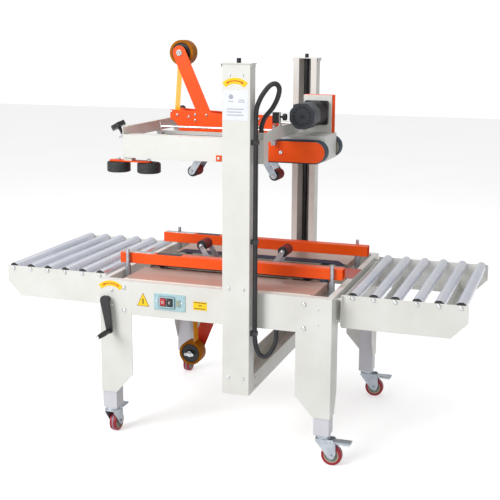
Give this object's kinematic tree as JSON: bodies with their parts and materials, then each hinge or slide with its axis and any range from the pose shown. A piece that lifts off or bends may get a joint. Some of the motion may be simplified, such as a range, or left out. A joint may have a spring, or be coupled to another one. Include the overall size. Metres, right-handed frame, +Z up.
{
  "type": "carton sealing machine",
  "caption": "Semi-automatic carton sealer: roller tables, belt-driven bed on casters, height-adjustable taping head on two columns, side guides with a hand crank.",
  "frame": {"origin": "centre of the footprint's bounding box, on the floor", "axes": "+X along the carton's travel from infeed to outfeed, +Y from the operator's side to the rear, +Z up"},
  "size_m": [1.762, 0.982, 1.47],
  "materials": {
    "white_paint": "satin",
    "leg_paint": "satin",
    "orange_paint": "satin",
    "red_paint": "satin",
    "deck_film": "satin",
    "roller_zinc": "satin",
    "caster_zinc": "satin",
    "caster_tyre": "matte",
    "belt_rubber": "matte",
    "screw_steel": "dark",
    "motor_cast": "cast",
    "tape_amber": "gloss",
    "roll_rubber": "matte",
    "wheel_black": "matte",
    "drive_steel": "satin",
    "crank_black": "satin",
    "grip_plastic": "matte",
    "switch_plate": "satin",
    "button_red": "gloss",
    "button_black": "gloss",
    "conduit_black": "matte"
  },
  "bodies": {
    "frame": {"bed_frame": "white_paint", "bed_decks": "deck_film", "legs_outer": "white_paint", "inner_legs": "leg_paint", "infeed_table": "white_paint", "outfeed_table": "white_paint", "column_front": "white_paint", "column_rear": "white_paint", "base_channel": "white_paint", "lower_drive": "drive_steel", "lower_belts": "belt_rubber", "lower_cartridge": "red_paint", "switch_box": "switch_plate", "conduit": "conduit_black"},
    "head": {"head_frame": "white_paint", "upper_drive": "orange_paint", "upper_belts": "belt_rubber", "gearmotor": "motor_cast", "upper_cartridge": "orange_paint", "tab_clamp": "grip_plastic"},
    "fork_fl": {"fork_fl": "caster_zinc"},
    "fork_fr": {"fork_fr": "caster_zinc"},
    "fork_rl": {"fork_rl": "caster_zinc"},
    "fork_rr": {"fork_rr": "caster_zinc"},
    "wheel_fl": {"wheel_fl": "caster_tyre"},
    "wheel_fr": {"wheel_fr": "caster_tyre"},
    "wheel_rl": {"wheel_rl": "caster_tyre"},
    "wheel_rr": {"wheel_rr": "caster_tyre"},
    "pedal_fl": {"pedal_fl": "caster_zinc"},
    "pedal_fr": {"pedal_fr": "caster_zinc"},
    "pedal_rl": {"pedal_rl": "caster_zinc"},
    "pedal_rr": {"pedal_rr": "caster_zinc"},
    "in_roller_1": {"in_roller_1": "roller_zinc"},
    "in_roller_2": {"in_roller_2": "roller_zinc"},
    "in_roller_3": {"in_roller_3": "roller_zinc"},
    "in_roller_4": {"in_roller_4": "roller_zinc"},
    "in_roller_5": {"in_roller_5": "roller_zinc"},
    "in_roller_6": {"in_roller_6": "roller_zinc"},
    "out_roller_1": {"out_roller_1": "roller_zinc"},
    "out_roller_2": {"out_roller_2": "roller_zinc"},
    "out_roller_3": {"out_roller_3": "roller_zinc"},
    "out_roller_4": {"out_roller_4": "roller_zinc"},
    "out_roller_5": {"out_roller_5": "roller_zinc"},
    "out_roller_6": {"out_roller_6": "roller_zinc"},
    "lead_screw_front": {"lead_screw_front": "screw_steel"},
    "lead_screw_rear": {"lead_screw_rear": "screw_steel"},
    "upper_tape_roll": {"upper_tape_roll": "tape_amber"},
    "upper_arm_in": {"upper_arm_in": "roll_rubber"},
    "upper_arm_out": {"upper_arm_out": "roll_rubber"},
    "press_wheel_1": {"press_wheel_1": "wheel_black"},
    "press_wheel_2": {"press_wheel_2": "wheel_black"},
    "lower_tape_roll": {"lower_tape_roll": "tape_amber"},
    "lower_arm_in": {"lower_arm_in": "roll_rubber"},
    "lower_arm_out": {"lower_arm_out": "roll_rubber"},
    "guide_front": {"guide_front": "orange_paint"},
    "guide_rear": {"guide_rear": "orange_paint"},
    "crank": {"crank": "crank_black"},
    "stop_button": {"stop_button": "button_red"},
    "start_button": {"start_button": "button_black"},
    "head_knob": {"head_knob": "grip_plastic"}
  },
  "joints": [
    {"name": "head_lift", "type": "slide", "parent": "frame", "child": "head", "axis": [0, 0, 1], "range_m": [-0.265, 0.085], "deforming": ["conduit"]},
    {"name": "screw_turn_front", "type": "hinge", "parent": "frame", "child": "lead_screw_front", "pos_m": [0.102, -0.396, 0.8], "axis": [0, 0, 1], "continuous": true},
    {"name": "screw_turn_rear", "type": "hinge", "parent": "frame", "child": "lead_screw_rear", "pos_m": [0.102, 0.444, 0.8], "axis": [0, 0, 1], "continuous": true},
    {"name": "crank_turn", "type": "hinge", "parent": "frame", "child": "crank", "pos_m": [-0.416, -0.376, 0.534], "axis": [0, 1, 0], "range_deg": [-1620, 990]},
    {"name": "guide_front_slide", "type": "slide", "parent": "frame", "child": "guide_front", "axis": [0, 1, 0], "range_m": [-0.092, 0.056]},
    {"name": "guide_rear_slide", "type": "slide", "parent": "frame", "child": "guide_rear", "axis": [0, 1, 0], "range_m": [-0.056, 0.092]},
    {"name": "in_roller_1_turn", "type": "hinge", "parent": "frame", "child": "in_roller_1", "pos_m": [-0.485, 0.024, 0.6], "axis": [0, 1, 0], "continuous": true},
    {"name": "in_roller_2_turn", "type": "hinge", "parent": "frame", "child": "in_roller_2", "pos_m": [-0.559, 0.024, 0.6], "axis": [0, 1, 0], "continuous": true},
    {"name": "in_roller_3_turn", "type": "hinge", "parent": "frame", "child": "in_roller_3", "pos_m": [-0.633, 0.024, 0.6], "axis": [0, 1, 0], "continuous": true},
    {"name": "in_roller_4_turn", "type": "hinge", "parent": "frame", "child": "in_roller_4", "pos_m": [-0.707, 0.024, 0.6], "axis": [0, 1, 0], "continuous": true},
    {"name": "in_roller_5_turn", "type": "hinge", "parent": "frame", "child": "in_roller_5", "pos_m": [-0.781, 0.024, 0.6], "axis": [0, 1, 0], "continuous": true},
    {"name": "in_roller_6_turn", "type": "hinge", "parent": "frame", "child": "in_roller_6", "pos_m": [-0.855, 0.024, 0.6], "axis": [0, 1, 0], "continuous": true},
    {"name": "out_roller_1_turn", "type": "hinge", "parent": "frame", "child": "out_roller_1", "pos_m": [0.485, 0.024, 0.6], "axis": [0, 1, 0], "continuous": true},
    {"name": "out_roller_2_turn", "type": "hinge", "parent": "frame", "child": "out_roller_2", "pos_m": [0.559, 0.024, 0.6], "axis": [0, 1, 0], "continuous": true},
    {"name": "out_roller_3_turn", "type": "hinge", "parent": "frame", "child": "out_roller_3", "pos_m": [0.633, 0.024, 0.6], "axis": [0, 1, 0], "continuous": true},
    {"name": "out_roller_4_turn", "type": "hinge", "parent": "frame", "child": "out_roller_4", "pos_m": [0.707, 0.024, 0.6], "axis": [0, 1, 0], "continuous": true},
    {"name": "out_roller_5_turn", "type": "hinge", "parent": "frame", "child": "out_roller_5", "pos_m": [0.781, 0.024, 0.6], "axis": [0, 1, 0], "continuous": true},
    {"name": "out_roller_6_turn", "type": "hinge", "parent": "frame", "child": "out_roller_6", "pos_m": [0.855, 0.024, 0.6], "axis": [0, 1, 0], "continuous": true},
    {"name": "swivel_fl", "type": "hinge", "parent": "frame", "child": "fork_fl", "pos_m": [-0.421, -0.341, 0.1], "axis": [0, 0, 1], "continuous": true},
    {"name": "wheel_turn_fl", "type": "hinge", "parent": "fork_fl", "child": "wheel_fl", "pos_m": [-0.421, -0.309, 0.0375], "axis": [-1, 0, 0], "continuous": true},
    {"name": "pedal_tilt_fl", "type": "hinge", "parent": "fork_fl", "child": "pedal_fl", "pos_m": [-0.421, -0.311, 0.086], "axis": [-1, 0, 0], "range_deg": [0, 10]},
    {"name": "swivel_fr", "type": "hinge", "parent": "frame", "child": "fork_fr", "pos_m": [0.403, -0.341, 0.1], "axis": [0, 0, 1], "continuous": true},
    {"name": "wheel_turn_fr", "type": "hinge", "parent": "fork_fr", "child": "wheel_fr", "pos_m": [0.435, -0.341, 0.0375], "axis": [0, 1, 0], "continuous": true},
    {"name": "pedal_tilt_fr", "type": "hinge", "parent": "fork_fr", "child": "pedal_fr", "pos_m": [0.433, -0.341, 0.086], "axis": [0, 1, 0], "range_deg": [0, 10]},
    {"name": "swivel_rl", "type": "hinge", "parent": "frame", "child": "fork_rl", "pos_m": [-0.421, 0.389, 0.1], "axis": [0, 0, 1], "continuous": true},
    {"name": "wheel_turn_rl", "type": "hinge", "parent": "fork_rl", "child": "wheel_rl", "pos_m": [-0.421, 0.421, 0.0375], "axis": [-1, 0, 0], "continuous": true},
    {"name": "pedal_tilt_rl", "type": "hinge", "parent": "fork_rl", "child": "pedal_rl", "pos_m": [-0.421, 0.419, 0.086], "axis": [-1, 0, 0], "range_deg": [0, 10]},
    {"name": "swivel_rr", "type": "hinge", "parent": "frame", "child": "fork_rr", "pos_m": [0.403, 0.389, 0.1], "axis": [0, 0, 1], "continuous": true},
    {"name": "wheel_turn_rr", "type": "hinge", "parent": "fork_rr", "child": "wheel_rr", "pos_m": [0.435, 0.389, 0.0375], "axis": [0, 1, 0], "continuous": true},
    {"name": "pedal_tilt_rr", "type": "hinge", "parent": "fork_rr", "child": "pedal_rr", "pos_m": [0.433, 0.389, 0.086], "axis": [0, 1, 0], "range_deg": [0, 10]},
    {"name": "upper_arm_in_swing", "type": "hinge", "parent": "head", "child": "upper_arm_in", "pos_m": [-0.152, 0.024, 1.087], "axis": [0, 1, 0], "range_deg": [0, 40], "stiffness_Nm_per_rad": 4, "springref_deg": -28.65},
    {"name": "upper_arm_out_swing", "type": "hinge", "parent": "head", "child": "upper_arm_out", "pos_m": [0.036, 0.024, 1.087], "axis": [0, 1, 0], "range_deg": [-40, 0], "stiffness_Nm_per_rad": 4, "springref_deg": 28.65},
    {"name": "lower_arm_in_swing", "type": "hinge", "parent": "frame", "child": "lower_arm_in", "pos_m": [-0.115, 0.024, 0.561], "axis": [0, 1, 0], "range_deg": [-40, 0], "stiffness_Nm_per_rad": 4, "springref_deg": 45.84},
    {"name": "lower_arm_out_swing", "type": "hinge", "parent": "frame", "child": "lower_arm_out", "pos_m": [0.073, 0.024, 0.561], "axis": [0, 1, 0], "range_deg": [0, 40], "stiffness_Nm_per_rad": 4, "springref_deg": -45.84},
    {"name": "upper_roll_turn", "type": "hinge", "parent": "head", "child": "upper_tape_roll", "pos_m": [-0.271, 0.024, 1.422], "axis": [0, 1, 0], "continuous": true},
    {"name": "lower_roll_turn", "type": "hinge", "parent": "frame", "child": "lower_tape_roll", "pos_m": [-0.241, 0.024, 0.229], "axis": [0, 1, 0], "continuous": true},
    {"name": "press_wheel_1_turn", "type": "hinge", "parent": "head", "child": "press_wheel_1", "pos_m": [-0.383, -0.323, 1.02], "axis": [0, 0, 1], "continuous": true},
    {"name": "press_wheel_2_turn", "type": "hinge", "parent": "head", "child": "press_wheel_2", "pos_m": [-0.264, -0.323, 1.02], "axis": [0, 0, 1], "continuous": true},
    {"name": "stop_push", "type": "slide", "parent": "frame", "child": "stop_button", "axis": [0, 1, 0], "range_m": [0, 0.003], "stiffness_N_per_m": 500, "springref_m": -0.002},
    {"name": "start_push", "type": "slide", "parent": "frame", "child": "start_button", "axis": [0, 1, 0], "range_m": [0, 0.003], "stiffness_N_per_m": 500, "springref_m": -0.002},
    {"name": "head_knob_turn", "type": "hinge", "parent": "head", "child": "head_knob", "pos_m": [-0.37, -0.313, 1.138], "axis": [-0.5, 0, 0.866], "continuous": true}
  ],
  "couplings": [
    {"joint": "guide_front_slide", "follows": "crank_turn", "m_per_rad": 0.0031831},
    {"joint": "guide_rear_slide", "follows": "crank_turn", "m_per_rad": -0.0031831},
    {"joint": "screw_turn_front", "follows": "head_lift", "rad_per_m": 628.32},
    {"joint": "screw_turn_rear", "follows": "head_lift", "rad_per_m": 628.32},
    {"joint": "upper_arm_out_swing", "follows": "upper_arm_in_swing", "ratio": -1},
    {"joint": "lower_arm_out_swing", "follows": "lower_arm_in_swing", "ratio": -1}
  ]
}
